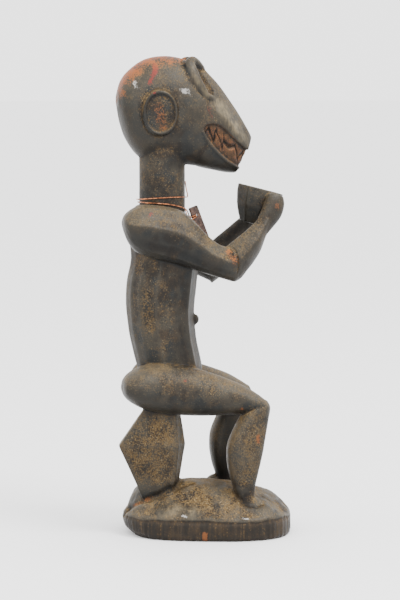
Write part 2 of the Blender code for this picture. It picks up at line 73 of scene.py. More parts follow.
# Rows joined by straight lines, read at equal steps
def straightThrough(rows, perSpan=12):
    rows = np.array(rows, float)
    place = np.linspace(0, len(rows) - 1, (len(rows) - 1) * perSpan + 1)
    return np.column_stack([np.interp(place, np.arange(len(rows)), column) for column in rows.T])


# A section as up and across from -1 to 1: sine and cosine to the power 2 / p, so that p = 2 is an
# ellipse, 1 a lozenge and over 3 a box with round corners
def oval(p, sides=96):
    turn = np.arange(sides) * 2 * math.pi / sides
    wave = np.column_stack([np.sin(turn), np.cos(turn)])
    return np.sign(wave) * np.abs(wave) ** (2 / p)


# A cornered section from its half on one side, read at equal steps of its way round
def cornered(half, sides=120):
    half = np.array(half, float)
    outline = np.vstack([half, half[-2:0:-1] * (1, -1), half[:1]])
    way = np.concatenate([[0], np.cumsum(np.linalg.norm(np.diff(outline, axis=0), axis=1))])
    spots = np.arange(sides) / sides * way[-1]
    return np.column_stack([np.interp(spots, way, outline[:, k]) for k in (0, 1)])


# A closed skin over a stack of rings: two triangles between neighbours, and a fan to each end's middle
def skin(rings):
    rows, sides = rings.shape[:2]
    places = np.vstack([rings.reshape(-1, 3), rings[0].mean(0), rings[-1].mean(0)])
    k = np.arange(rows * sides).reshape(rows, sides)
    n = np.roll(k, -1, axis=1)
    quads = np.stack([k[:-1], n[:-1], n[1:], k[:-1], n[1:], k[1:]], axis=-1).reshape(-1, 3)
    first = np.stack([np.full(sides, rows * sides), n[0], k[0]], axis=-1)
    last = np.stack([np.full(sides, rows * sides + 1), k[-1], n[-1]], axis=-1)
    return places, np.vstack([quads, first, last])


# A limb or trunk: at each row the section is stretched between the row's two points and to its half width
def loft(rows, section, side=1, pinch=0.0, skew=0.0):
    rows = np.asarray(rows, float)
    up, across = section[:, 0], section[:, 1]
    f0, z0, f1, z1, s, width = (rows[:, k, None] for k in range(6))
    narrow = 1 - pinch * np.clip((up - 0.25) / 0.75, 0, 1)
    f = (f0 + f1) / 2 + up * (f0 - f1) / 2
    z = (z0 + z1) / 2 + up * (z0 - z1) / 2
    x = side * (s + across * narrow * width)
    return skin(np.stack([x, -f - skew * x, z], axis=-1))


# An egg: a ball's rings scaled to three radii and put in place
def egg(f, z, s, radii, sides=48):
    latitude = np.linspace(-math.pi / 2, math.pi / 2, 40)[1:-1, None]
    longitude = np.arange(sides) * 2 * math.pi / sides
    x = np.cos(latitude) * np.cos(longitude) * radii[0]
    y = np.cos(latitude) * np.sin(longitude) * radii[1]
    up = np.repeat(np.sin(latitude) * radii[2], sides, axis=1)
    return skin(np.stack([x + s, y - f, up + z], axis=-1))


# A ridge: ovals across a smooth path, each square to the path's own heading and wider by the rows' last value
def ridge(rows, sides=24):
    rows = curveThrough(rows, 8)
    path = np.column_stack([rows[:, 2], -rows[:, 0], rows[:, 1]])
    heading = np.gradient(path, axis=0)
    heading /= np.linalg.norm(heading, axis=1)[:, None]
    side = np.array([1.0, 0, 0]) - heading * heading[:, :1]
    side /= np.linalg.norm(side, axis=1)[:, None]
    other = np.cross(heading, side)
    turn = np.arange(sides) * 2 * math.pi / sides
    thick, wide = rows[:, 3, None, None], rows[:, 4, None, None]
    across = side[:, None] * np.cos(turn)[:, None] + wide * other[:, None] * np.sin(turn)[:, None]
    return skin(path[:, None] + thick * across)


# Turns places about the upright axis to where the base looks, then moves them forward
def alongBase(places, forward):
    a = math.radians(-carving["baseTurn"])
    x, y, z = (places[..., k] for k in range(3))
    turned = np.stack([x * math.cos(a) - y * math.sin(a), x * math.sin(a) + y * math.cos(a), z], axis=-1)
    return turned - np.array([0, forward, 0])


# Moves the first row forward and up by one step and the last by another, and those between by falling shares
def shiftedRows(rows, first, last):
    rows = np.array(rows, float)
    share = np.linspace(0, 1, len(rows))[:, None]
    move = np.array(first) * (1 - share) ** 2 + np.array(last) * share ** 2
    rows[:, :4] += np.tile(move, 2)
    return rows


carving = {
    "voxel": 1.1,               # grid on which the forms are joined
    "triangles": 190000,        # left once the carving is done
    "baseTurn": 17,         # degrees that the base looks to the figure's right
    "basePower": 2.7,
    "baseForward": 3,
    "baseLength": 196,
    "baseWidth": 138,
    "wall": 22,
    "crown": 58,
    "lobeFoot": 14,
    "pillarForward": -61,
    "cupForward": 67,
    "cupRim": 396,
    "cupRadius": 27.5,
    "cupHeight": 41,
    "cupWall": 4.2,
    "cupDepth": 30,
    "cupTilt": 15,
    "cupFlats": 8,
    "cupFlatShare": 0.924,      # the middle of a flat is this share of a corner's radius
    "cupFloorShare": 0.56,
    "cupFloorLimit": 0.95,
    "cupMiddle": 3,             # radius at which both ends of the profile stop
    "cupProfile": [(0.53, 1), (0.68, 0.8), (0.86, 0.53), (0.965, 0.24), (1, 0)],
    "neck": (-23, -75, 26, 350, 458),   # front, rear, half width, lower and upper end
    "navel": (-11, 247, 0, (4, 5, 6)),
    "leftHeel": (23, 50, 45, (9, 10, 8)),
    # The ear: F, Z, half length, half height and S; then share of the way out and how far it stands out there
    "ear": (-58, 484, 19.5, 25, 31),
    "earProfile": [
        (0.04, 5.2), (0.5, 5.0), (0.74, 4.6), (0.82, 4.8), (0.88, 6.4), (0.93, 7.4), (0.97, 6.8), (1.0, 4.5),
        (1.0, 0), (0.04, -4)],
    # Halves of the sections that have corners, up and across
    "torsoHalf": [(1, 0), (0.64, 0.97), (0.3, 1.02), (-0.3, 1.0), (-0.72, 0.8), (-0.94, 0.4), (-1, 0)],
    "pillarHalf": [(1, 0), (0.87, 0.94), (-0.95, 1), (-1, 0.6), (-1, 0)],
    "armHalf": [
        (1, 0), (0.9, 0.38), (0.56, 0.72), (0.14, 1), (-0.36, 0.84), (-0.78, 0.52), (-0.96, 0.22), (-1, 0)],
    "leftShoulder": (29, -5),    # how much further forward and up the left limbs' ends lie
    "leftElbow": (-7, -9),
    "leftHip": (27, -6),
    "leftKnee": (0, 6),
    "bodyTurn": 16.7,           # degrees that the shoulders and hips are turned to the right
    # Rows hold upper or rear F and Z, lower or front F and Z, S of the middle, half width
    "cranium": [
        (-101, 506, -101, 492, 0, 9), (-96, 521, -96, 468, 0, 20), (-86, 533, -88, 449, 0, 27.5),
        (-68, 544.5, -74, 433, 0, 32), (-46, 548, -50, 426, 0, 34), (-26, 545, -24, 425, 0, 33.5),
        (-12, 538, -4, 423, 0, 31.5), (-3, 526, 8, 425, 0, 27.5), (6, 508, 16, 434, 0, 20)],
    "muzzle": [
        (-20, 534, -20, 428, 0, 27), (-5, 536, -6, 422, 0, 29), (7, 526, 10, 418.5, 0, 28),
        (18, 514, 22, 416, 0, 26), (29, 499, 31, 415, 0, 22.5), (40, 483, 35, 415, 0, 18.5),
        (48, 470, 37, 416, 0, 15.5), (55, 457, 39.5, 420, 0, 12.5), (54, 451, 42, 424, 0, 9)],
    "torso": [
        (-74, 176, -2, 172, 0, 33), (-80, 200, -3, 196, 0, 33.5), (-87, 230, -9, 226, 0, 34),
        (-91, 264, -11.5, 256, 0, 35), (-90, 292, -9, 284, 0, 36), (-85, 316, -7, 308, 0, 37),
        (-86, 336, -7, 330, 0, 38), (-84, 358, -12, 349, 0, 38), (-80, 371, -20, 361, 0, 34),
        (-75, 379, -30, 368, 0, 26)],
    "yoke": [
        (-86, 358, -86, 348, 0, 14), (-84, 363, -84, 341, 0, 27), (-79, 368, -80, 334, 0, 38),
        (-71, 373, -74, 328, 0, 47), (-59, 376, -65, 323, 0, 53), (-45, 373, -55, 320, 0, 54),
        (-32, 364, -42, 320, 0, 47)],
    "pelvis": [
        (-87, 172, -87, 163, 0, 15), (-84, 177, -84, 157, 0, 28), (-79, 181, -79, 152, 0, 38),
        (-71, 184, -70, 147, 0, 46), (-56, 187, -53, 142, 0, 51), (-35, 187, -30, 140, 0, 48)],
    "upperArm": [
        (-102, 366, -102, 356, 40, 9), (-99.5, 371, -99.5, 348, 40, 15.5), (-93, 376.5, -95, 338, 39.5, 20),
        (-80, 381.5, -86, 328, 39, 23), (-57, 380, -67, 321, 38.5, 24), (-34, 374, -47, 316, 38.5, 23),
        (-19, 361, -25, 309, 40, 21.5), (-5, 346, -5, 302, 42, 19), (8, 336, 12, 297, 44, 16),
        (22, 331, 26, 293.5, 44.5, 14), (31, 322, 32, 300, 44.5, 10)],
    "forearm": [
        (10, 325, 26, 293, 44, 12), (17, 334, 33, 297, 44, 14.5), (26, 341, 39, 304, 43.5, 15),
        (38, 350, 48, 315, 42.5, 14.5), (49, 359, 57, 328, 40, 12.5), (57, 366, 63, 342, 37, 10.5),
        (62, 373, 69, 352, 34.5, 9.5)],
    "hand": [
        (55, 364, 62, 343, 35.5, 9), (60, 374, 72, 353, 33, 9.5), (64, 384, 83, 366, 30.5, 9.2),
        (68, 391, 87, 379, 29.5, 7.5), (74, 394, 86, 388, 29, 5.5)],
    "thigh": [
        (-102, 179, -102, 170, 33, 9), (-99.5, 185.5, -99, 163.5, 33, 16.5), (-93, 192, -91, 156.5, 32.5, 22),
        (-81, 198, -77, 149.5, 32, 26), (-63, 200, -55, 144, 31.5, 27.5), (-34, 198.5, -28, 140.8, 32, 27.5),
        (-10, 192.5, -5, 140, 33.5, 26), (14, 184, 14, 140.4, 36.5, 23.5), (37, 174, 36, 142, 40, 20),
        (53, 164, 51, 143, 42.5, 17), (61.5, 157.5, 57, 146, 43.5, 14.5)],
    "shin": [
        (48, 156.5, 63.5, 157, 43.5, 11), (41, 149, 66.5, 151, 43.5, 16), (33, 138, 66.5, 145, 43.5, 17),
        (25, 124, 64.5, 134, 44, 16.5), (18, 107, 60, 107, 44.5, 16.5), (17, 90, 57, 92, 45, 16),
        (20, 72, 53, 76, 45.5, 14.5), (25, 55, 49, 58, 46, 12.5), (29, 28, 45, 28, 46, 11)],
    "foot": [
        (28, 54, 28, 34, 46, 8), (38, 54, 38, 28, 46, 11), (51, 45, 50, 24, 46.5, 12),
        (61, 37, 60, 22, 47, 10), (66, 32, 65, 22, 47.5, 6)],
    # Rows of the pillar along the turned base: rear, front, height, half width
    "pillar": [
        (0, 28, 166, 23), (-6, 31, 150, 24), (-37, 38, 105, 29), (-16, 30.5, 59, 25), (-8, 28, 30, 22)],
    # Lobes of the base: forward, sideways, half length, half width, top
    "lobes": [(-50, 0, 47, 57, 61), (-8, -9, 64, 54, 61.5), (50, 3, 44, 54, 50)],
    # The brow and lid as one ridge: F, Z, S, thickness and how much wider it is
    "brow": [
        (-4, 532, 0, 5.4, 1), (-10, 538.5, 6, 5.2, 1.1), (-16.5, 541.5, 13, 4.5, 1.35),
        (-20.5, 538, 19.5, 3.8, 1.7), (-19.5, 530, 24, 3.3, 2.1), (-15.5, 520, 26.8, 2.9, 2.35),
        (-9.5, 511, 27.6, 2.4, 2.35), (-2.5, 504, 26.4, 1.8, 2.1), (5.5, 499.8, 23.6, 1.1, 1.7)],
}


# The slab of the base: its outline shrinks towards the crown while the height rises, and the underside
# stops short of the worn rear end
def baseSurface(c):
    up, across = oval(c["basePower"], 144).T
    x, y = across * c["baseWidth"] / 2, -up * c["baseLength"] / 2
    rear = np.clip(y / (c["baseLength"] / 2), 0, 1) ** 2
    share = np.concatenate([[1, 0.97, 0.9], np.linspace(0.85, 0.03, 20)])[:, None]
    rise = (1 - share ** 2.6) ** 0.9
    wall = c["wall"] * np.where(share == 1, 0.86, 1.0)
    height = np.repeat(wall + (c["crown"] - c["wall"]) * rise, len(x), axis=1)
    upper = np.stack([x * share, y * share, height], axis=-1)
    foot = np.stack([x * 0.98, y * (0.985 - 0.14 * rear), np.zeros_like(x)], axis=-1)
    lip = np.stack([x, y * (1 - 0.03 * rear), c["wall"] * (0.14 + 0.3 * rear)], axis=-1)
    return skin(alongBase(np.vstack([foot[None], lip[None], upper]), c["baseForward"]))


# A lobe of the base: ovals that shrink as the height rises to its own top
def lobeSurface(c, f, s, length, width, top):
    up, across = oval(2.5, 96).T
    share = np.linspace(1, 0.03, 24)[:, None]
    height = c["lobeFoot"] + (top - c["lobeFoot"]) * (1 - share ** 3.2) ** 0.9
    height = np.repeat(height, len(up), axis=1)
    rings = np.stack([s + across * width * share, -f - up * length * share, height], axis=-1)
    return skin(alongBase(rings, c["baseForward"]))


# The pillar: its cornered section at each row is stretched from the rear to the front point
def pillarSurface(c):
    forward, across = cornered(c["pillarHalf"]).T
    rear, front, height, width = (column[:, None] for column in straightThrough(c["pillar"]).T)
    y = -((front + rear) / 2 + forward * (front - rear) / 2)
    ring = np.stack([across * width, y, height + np.zeros_like(y)], axis=-1)
    return skin(alongBase(ring, c["pillarForward"]))


# The cup: a profile of radius and depth carried round, with flats outside and a round hollow, then tilted
def cupSurface(c):
    radius, depth, wall = c["cupRadius"], c["cupHeight"], c["cupWall"]
    floor, middle, flatShare = c["cupDepth"], c["cupMiddle"], c["cupFlatShare"]
    outside = c["cupProfile"]
    lowest = floor * c["cupFloorLimit"]
    inner = [(r * radius * flatShare - wall, -d * depth) for r, d in outside[:0:-1] if d * depth < lowest]
    inner += [(radius * c["cupFloorShare"] * flatShare - wall / 2, -floor), (middle, -floor)]
    profile = [(middle, -depth)] + [(r * radius, -d * depth) for r, d in outside] + inner
    perStep = 6
    profile = straightThrough(profile, perStep)
    turn = np.arange(160) * 2 * math.pi / 160
    flat = math.pi / c["cupFlats"]
    faceted = math.cos(flat) / np.cos((turn % (2 * flat)) - flat)
    outer = (np.arange(len(profile)) < perStep * len(outside) + 1)[:, None]
    r = profile[:, :1] * np.where(outer, faceted, 1.0)
    x, y = r * np.cos(turn), r * np.sin(turn)
    z = np.repeat(profile[:, 1:], len(turn), axis=1)
    a = math.radians(c["cupTilt"])
    tiltedY = y * math.cos(a) - z * math.sin(a) - c["cupForward"]
    tiltedZ = y * math.sin(a) + z * math.cos(a) + c["cupRim"]
    return skin(np.stack([x, tiltedY, tiltedZ], axis=-1))


# The ear: ovals on the side of the head, whose height runs from a low dish over a round rim to the head
def earSurface(c, side):
    earF, earZ, halfLength, halfHeight, earS = c["ear"]
    share, out = curveThrough(c["earProfile"], 5).T[:, :, None]
    up, across = oval(2.15, 72).T
    y, z = across * halfLength * share - earF, up * halfHeight * share + earZ
    return skin(np.stack([side * (earS + out) + np.zeros_like(y), y, z], axis=-1))


# Every form of the carving as places and triangles, which still run through one another
def carvingSurfaces(c):
    torsoSection = -cornered(c["torsoHalf"])
    skew = math.tan(math.radians(c["bodyTurn"]))
    front, rear, halfWidth, lower, upper = c["neck"]
    neck = [(front, z, rear, z, 0, halfWidth) for z in np.linspace(lower, upper, 30)]
    surfaces = [
        loft(curveThrough(c["cranium"]), oval(2.15)),
        loft(curveThrough(c["muzzle"], 8), oval(2.5), pinch=0.55),
        loft(curveThrough(c["torso"]), torsoSection),
        loft(curveThrough(c["yoke"]), oval(2.1), skew=skew),
        loft(curveThrough(c["pelvis"]), oval(2.2), skew=skew),
        pillarSurface(c), baseSurface(c), cupSurface(c),
        loft(neck, oval(2)), egg(*c["navel"]), egg(*c["leftHeel"]),
    ]
    surfaces.append(ridge([(f, z, -s, *size) for f, z, s, *size in c["brow"][:0:-1]] + c["brow"]))
    surfaces += [lobeSurface(c, *lobe) for lobe in c["lobes"]]
    still = (0, 0)
    limbs = [
        ("upperArm", cornered(c["armHalf"]), c["leftShoulder"], c["leftElbow"]),
        ("forearm", oval(1.45), c["leftElbow"], still),
        ("hand", oval(2.3), still, still),
        ("thigh", oval(2), c["leftHip"], c["leftKnee"]),
        ("shin", oval(2.6), c["leftKnee"], still),
        ("foot", oval(2.2), still, still),
    ]
    for side in (-1, 1):
        for name, section, first, last in limbs:
            rows = shiftedRows(c[name], first, last) if side > 0 else c[name]
            surfaces.append(loft(curveThrough(rows), section, side))
        surfaces.append(earSurface(c, side))
    return surfaces


# Puts whole arrays of places and triangles into a new mesh
def meshFrom(name, places, triangles):
    mesh = bpy.data.meshes.new(name)
    mesh.vertices.add(len(places))
    mesh.vertices.foreach_set("co", np.asarray(places, np.float32).ravel())
    mesh.loops.add(triangles.size)
    mesh.loops.foreach_set("vertex_index", triangles.astype(np.int32).ravel())
    mesh.polygons.add(len(triangles))
    mesh.polygons.foreach_set("loop_start", np.arange(len(triangles), dtype=np.int32) * 3)
    mesh.update(calc_edges=True)
    return mesh


def addPiece(name, mesh):
    piece = bpy.data.objects.new(name, mesh)
    bpy.context.scene.collection.objects.link(piece)
    return piece


# Gives the object the mesh that its modifiers make, and takes them off
def applyModifiers(piece):
    made = bpy.data.meshes.new_from_object(piece.evaluated_get(bpy.context.evaluated_depsgraph_get()))
    piece.modifiers.clear()
    piece.data = made


# One value of every item of a mesh, read at once
def wholeArray(items, key, width, kind):
    values = np.empty(len(items) * width, kind)
    items.foreach_get(key, values)
    return values.reshape(-1, width)


def placesOf(mesh):
    return wholeArray(mesh.vertices, "co", 3, np.float32).astype(float)


def normalsOf(mesh):
    return wholeArray(mesh.vertex_normals, "vector", 3, np.float32).astype(float)


def movePlaces(mesh, places):
    mesh.vertices.foreach_set("co", places.astype(np.float32).ravel())
    mesh.update()


def trianglesOf(mesh):
    return len(mesh.loops) - 2 * len(mesh.polygons)


def edgesOf(mesh):
    return wholeArray(mesh.edges, "vertices", 2, np.int32)


# Each value moves half way to the mean of its neighbours along the edges, some number of times
def relax(values, edges, times):
    values = values.copy()
    count = np.bincount(edges.ravel(), minlength=len(values))[:, None]
    for _ in range(times):
        total = np.zeros_like(values)
        for column in range(values.shape[1]):
            total[:, column] = (np.bincount(edges[:, 0], values[edges[:, 1], column], len(values))
                                + np.bincount(edges[:, 1], values[edges[:, 0], column], len(values)))
        values += 0.5 * (total / count - values)
    return values


# Runs from 0 at low to 1 at high along a cubic that is level at both ends
def easeStep(values, low, high):
    t = np.clip((values - low) / (high - low), 0, 1)
    return t * t * (3 - 2 * t)


# Soft noise from -1 to 1: random numbers on a cubic lattice, blended between its corners by eased steps
def softNoise(places, size, seed):
    lattice = np.random.default_rng(seed).uniform(-1, 1, (64, 64, 64))
    spots = np.asarray(places) / size
    cell = np.floor(spots).astype(int)
    t = easeStep(spots - cell, 0, 1)
    total = np.zeros(len(spots))
    for corner in np.ndindex(2, 2, 2):
        weight = np.prod(np.where(corner, t, 1 - t), axis=1)
        k = (cell + corner) % 64
        total += weight * lattice[k[:, 0], k[:, 1], k[:, 2]]
    return total


# Squared distance to the nearest of random points, one in each cube of a lattice: scoops between ridges
def scoops(places, size, seed):
    offsets = np.random.default_rng(seed).uniform(0, 1, (32, 32, 32, 3))
    spots = np.asarray(places) / size
    cell = np.floor(spots).astype(int)
    nearest = np.full(len(spots), 9.0)
    for corner in np.ndindex(3, 3, 3):
        k = cell + np.array(corner) - 1
        centre = k + offsets[k[:, 0] % 32, k[:, 1] % 32, k[:, 2] % 32]
        nearest = np.minimum(nearest, ((spots - centre) ** 2).sum(1))
    return nearest


# Distance from each place to a path of straight steps, all as F, Z and S
def distanceTo(spots, path):
    path = np.array(path, float)
    if len(path) == 1:
        return np.linalg.norm(spots - path[0], axis=1)
    nearest = np.full(len(spots), 1e9)
    for a, b in zip(path, path[1:]):
        step = b - a
        t = np.clip((spots - a) @ step / (step @ step), 0, 1)
        nearest = np.minimum(nearest, np.linalg.norm(spots - a - t[:, None] * step, axis=1))
    return nearest


# Depth inside an outline seen from the side: distance to its edge, above 0 where a ray crosses it an odd
# number of times
def depthInside(f, z, outline):
    outline = np.array(outline, float)
    flat = np.column_stack([f, z])
    odd = np.zeros(len(f), bool)
    for a, b in zip(outline, np.roll(outline, -1, axis=0)):
        crosses = (a[1] > z) != (b[1] > z)
        with np.errstate(divide="ignore", invalid="ignore"):
            reach = (b[0] - a[0]) * (z - a[1]) / (b[1] - a[1]) + a[0]
        odd ^= crosses & (f < reach)
    return np.where(odd, 1, -1) * distanceTo(flat, np.vstack([outline, outline[:1]]))


face = {
    "mouth": [(-8, 466), (-4, 471), (4, 472.5), (14, 470), (24, 462), (35, 452), (46, 443), (62, 437),
              (62, 421), (40, 421), (33, 424), (24, 429), (14, 437), (5, 446), (-3, 456)],
    "mouthMiddle": [(-7, 463), (4, 459.5), (14, 454), (24, 445.5), (34, 438), (46, 431.5), (62, 428)],
    "lipStep": 3.0,
    "lipRim": 0.6,
    "toothLength": 9.5,
    "toothRaise": 0.9,
    # F, and the half height of both rows of teeth there
    "toothReach": ([-7, 4, 14, 24, 34, 46], [5, 12.5, 16, 16, 14.5, 11]),
    "toothGap": (1.15, 1.7),    # half width and depth of the line between teeth
    "socket": [
        (-11, 534.3), (-5.2, 529.8), (1.7, 520.8), (8.5, 509.5), (8.5, 502.5), (-0.6, 505.5), (-4.1, 515.2),
        (-8.7, 524.2)],
    "socketDepth": 2.4,
}

# Uneven work of the knife and the weather, as layers of a pattern's size, its seed and its depth
relief = {
    "scoops": [(13, 3, 0.3), (6, 8, 0.08)],
    "lumps": [(15, 5, 1.5), (6, 6, 0.45)],
    "rim": [(16, 21, 2.2), (5, 22, 0.6)],
    "streaks": (2.8, 7, 0.55),
    "wallDepth": 0.9,
    "earGroove": 0.9,
}

# Grooves that the knife, a foot's edge or a crack left: path of F, Z and S, half width and depth into the
# wood; a depth below 0 is a raised line. The last value says whether it is on the other side too
grooves = [
    ([(-26.9, 546, 6), (-30, 540.5, 18), (-27, 532.5, 27), (-20.4, 521.6, 31.5), (-13.5, 508.5, 31.5),
        (-6.5, 502, 30.5)], 1.7, 1.7, True),
    ([(-6.5, 501, 30.5), (3.5, 497.2, 28), (9, 494, 25)], 1.5, 1.0, True),
    ([(-16.9, 530.9, 22), (-9.5, 523.0, 22.5), (-3.9, 515.2, 23), (-0.8, 506.2, 24.5), (8.5, 500.8, 22)],
        1.2, -1.1, True),
    ([(3.2, 496, 27), (6.7, 490.0, 27), (6.9, 483.0, 27), (6.5, 475.8, 27)], 1.5, 0.8, True),
    ([(22.2, 333.4, -52), (24.8, 325.6, -57.1), (26.7, 318.8, -58.6), (27.3, 311.8, -58.0),
        (26.4, 303.6, -56)], 0.9, 2.4, False),
    ([(-95, 25, 2), (-89.8, 30, 2), (-85.4, 35.0, -8.7), (-78.7, 39.6, -16.2), (-68.2, 43.7, -22.2),
        (-57.2, 48.5, -25.3), (-46.2, 54.4, -28.8),
      (-33.0, 57.3, -25), (-20, 59, -22)], 4.2, 3.0, False),
    ([(30, 45, -58), (32.5, 41.6, -59), (39.9, 38.4, -61.5), (48, 37.1, -61.9), (56, 38.5, -58)],
        2.2, 1.6, True),
    ([(-76, 188.5, -22), (-70.3, 194, -34.5), (-54.3, 195.6, -40.6), (-37.1, 195.2, -41.5),
        (-20.2, 191.6, -43.5), (-4, 188, -38)], 1.6, 0.9, True),
    ([(-25.4, 61, -10), (-30, 62, -20), (-22, 60.5, -24)], 2.2, -1.6, False),
]

# What stains or wears the wood, and where shade is painted: name of the stain, path of F, Z and S, reach,
# strength, other side too
stainsAndShade = [
    ("red", [(-96, 517, 0), (-87.5, 530, 0), (-76.4, 538, 0), (-63.0, 543.5, 0), (-50.2, 546, 0),
        (-40, 547, 0)], 21.0, 1.0, False),
    ("fresh", [(-98, 512, 0), (-87.5, 530, 0), (-76.4, 538, 0), (-63.0, 543.5, 0), (-48, 546, 0),
        (-34, 546, 0)], 29.0, 0.8, False),
    ("red", [(-60.9, 540, -14), (-61.6, 532.0, -22.9), (-65.3, 524.0, -26.4), (-68.5, 517.5, -28.2)],
        3.6, 1.0, False),
    ("red", [(-65.7, 506.3, -37.7)], 3.4, 0.8, False),
    ("red", [(-73.8, 369.7, -54.1), (-72, 372, -52)], 3.6, 0.75, False),
    ("red", [(-64.2, 376.9, -45.8)], 2.8, 0.6, False),
    ("red", [(-33.1, 183.1, -55.2)], 3.4, 0.5, False),
    ("red", [(-0.7, 488.2, -28.7), (2, 482, -28)], 5.0, 0.4, False),
    ("fresh", [(17.0, 327.9, -53.2), (20.7, 322.4, -56.9), (22.7, 316.9, -58.3)], 6.5, 0.55, False),
    ("fresh", [(49.4, 117.2, -60.2), (50, 112, -60)], 3.4, 0.75, False),
    ("fresh", [(31.5, 149.4, -56.8), (30.5, 145, -56.5)], 3.6, 0.8, False),
    ("fresh", [(-14, 8.5, -67.0), (-13.5, 2, -67)], 3.6, 2.2, False),
    ("fresh", [(76.2, 376.0, -39.4), (75.6, 382, -39.4)], 5.5, 0.5, True),
    ("fresh", [(-62, 490, -38), (-59, 480, -38), (-56, 469, -38)], 9.5, 0.5, True),
    ("white", [(-31.3, 509.6, -31.6), (-26, 507, -31)], 5.2, 0.85, False),
    ("white", [(-82.8, 511.8, -26.1), (-84, 517, -22)], 4.5, 0.5, False),
    ("white", [(29.1, 27.2, -72.7), (33, 26, -73)], 2.6, 1.2, False),
    ("white", [(-36.6, 28.8, -54.8), (-33, 28, -57)], 2.6, 0.9, False),
    ("white", [(22.9, 164.7, -58.4)], 2.0, 1.0, False),
    ("dust", [(-74.0, 272.2, -30.8), (-73, 262, -30.8), (-72, 240, -31)], 13.0, 0.6, True),
    ("dust", [(-76, 188, -28), (-54, 193, -40), (-30, 193, -42)], 5.0, 0.6, True),
    ("fresh", [(-89.8, 30, 2), (-78.7, 39.6, -16.2), (-57.2, 48.5, -25.3), (-46.2, 54.4, -28.8)],
        4.0, 0.42, False),
    ("fresh", [(-11, 526, -24), (-4, 515, -25), (2, 506, -24)], 6.0, 0.5, True),
    # Painted shade: the "dark" paths darken several areas: the undersides of the arms and jaw, the far leg
    # and forearm, the hollows round the hands, feet, brow and ear and on the base, and the chest and belly,
    # whose wood is also a darker tone
    ("dark", [(-40, 322, -37), (-24, 290, -36), (-26, 240, -34), (-30, 200, -33)], 24.0, 0.75, True),
    ("dark", [(-18, 300, -30), (-16, 240, -28), (-12, 200, -28)], 15.0, 0.6, True),
    ("dark", [(-88, 344, -50), (-60, 334, -60), (-25, 322, -60), (2, 306, -58)], 15.0, 0.8, True),
    ("dark", [(-42, 428, -22), (0, 421, -22), (38, 416, -12)], 13.0, 0.9, True),
    ("dark", [(-58, 509, -38), (-74, 500, -38), (-78, 484, -38), (-74, 468, -38), (-60, 459, -38),
        (-47, 463, -38)], 3.4, 0.75, True),
    ("dark", [(40, 140, 30), (40, 100, 30), (38, 60, 34)], 24.0, 1.1, False),
    ("dark", [(-88, 36, 2), (-74, 47, -7), (-60, 54, -14), (-46, 58, -18)], 8.5, 0.85, False),
    ("dark", [(22, 133, -62), (20, 110, -62), (24, 80, -60)], 8.0, 0.35, True),
    ("dark", [(52, 386, 0), (58, 372, 0)], 16.0, 0.6, False),
    ("dark", [(-4, 330, 0), (-8, 280, 0), (-6, 240, 0), (-2, 190, 0)], 30.0, 0.65, False),
    ("dark", [(64, 388, -38), (72, 376, -38), (66, 360, -40)], 13.0, 0.6, True),
    ("dark", [(20, 322, 44), (40, 335, 40), (60, 362, 34)], 20.0, 1.1, False),
    ("dark", [(-68, 150, -20), (-45, 150, -20)], 20.0, 0.6, True),
    ("dark", [(66, 140, -50), (66, 110, -52), (58, 70, -52)], 12.0, 0.45, True),
    ("dark", [(60, 30, -40), (78, 36, -20), (84, 30, 0)], 26.0, 0.45, False),
    ("dark", [(-66, 36, -40), (-52, 42, -44)], 11.0, 0.5, False),
    ("dark", [(34, 40, -60), (48, 36, -62), (60, 36, -58)], 8.0, 0.6, False),
    ("dark", [(-8, 34, -66), (-2, 30, -68)], 6.0, 0.7, False),
    ("dark", [(-24, 545, 12), (-29, 541, 18), (-26, 532, 27), (-19, 521, 31.5), (-12, 508, 31.5)],
        3.2, 0.9, True),
    ("plane", [(12, 500, -26), (26, 478, -22), (40, 456, -15)], 13.0, 0.9, True),
    ("plane", [(-4, 540, 8), (-14, 544, 12), (-20, 532, 24), (-15, 520, 29), (-5, 506, 28),
        (4, 500, 25)], 5.0, 0.8, True),
    ("plane", [(-60, 36, -50), (-40, 40, -52), (-30, 34, -58)], 13.0, 0.7, False),
    ("plane", [(70, 48, 0), (84, 40, 10)], 16.0, 0.7, False),
]


def otherSide(path):
    return [(f, z, -s) for f, z, s in path]


# The mouth: inside the outline the wood is cut back, and a saw line about its middle line parts two rows
# of uneven pointed teeth, raised between it and the lips
def cutMouth(spots):
    f, z, s = spots.T
    inside = depthInside(f, z, face["mouth"])
    inside[z < 400] = -99
    middle = np.array(face["mouthMiddle"], float)
    lift = z - np.interp(f, middle[:, 0], middle[:, 1])
    way = np.clip(f, None, 46) - np.abs(s) * np.clip((f - 18) / 24, 0, 1)
    way = way + softNoise(spots * (1, 1, 0.1), 11, 12) * 2.2
    share = (way / face["toothLength"]) % 1
    saw = np.abs(share * 2 - 1) * 2 - 1
    half = np.interp(f, *face["toothReach"])
    gap = np.abs(lift - saw * half * 0.55) * 0.72
    edge = easeStep(inside, 0, 1.5)
    gapWidth, gapDepth = face["toothGap"]
    line = np.exp(-(gap / gapWidth) ** 2) * edge
    depth = face["lipStep"] * edge + gapDepth * line - face["toothRaise"] * easeStep(gap, 1, 3.6) * edge
    depth += edge * softNoise(spots, 4, 13) * 0.5
    lip = np.exp(-((inside + 1.2) / 1.0) ** 2) * (lift < 0)
    return depth - face["lipRim"] * lip, edge, line


# How far a place on the head's side is from the middle of the ear, 1 at its outline
def earShare(f, z):
    earF, earZ, halfLength, halfHeight = carving["ear"][:4]
    return np.hypot((f - earF) / halfLength, (z - earZ) / halfHeight)


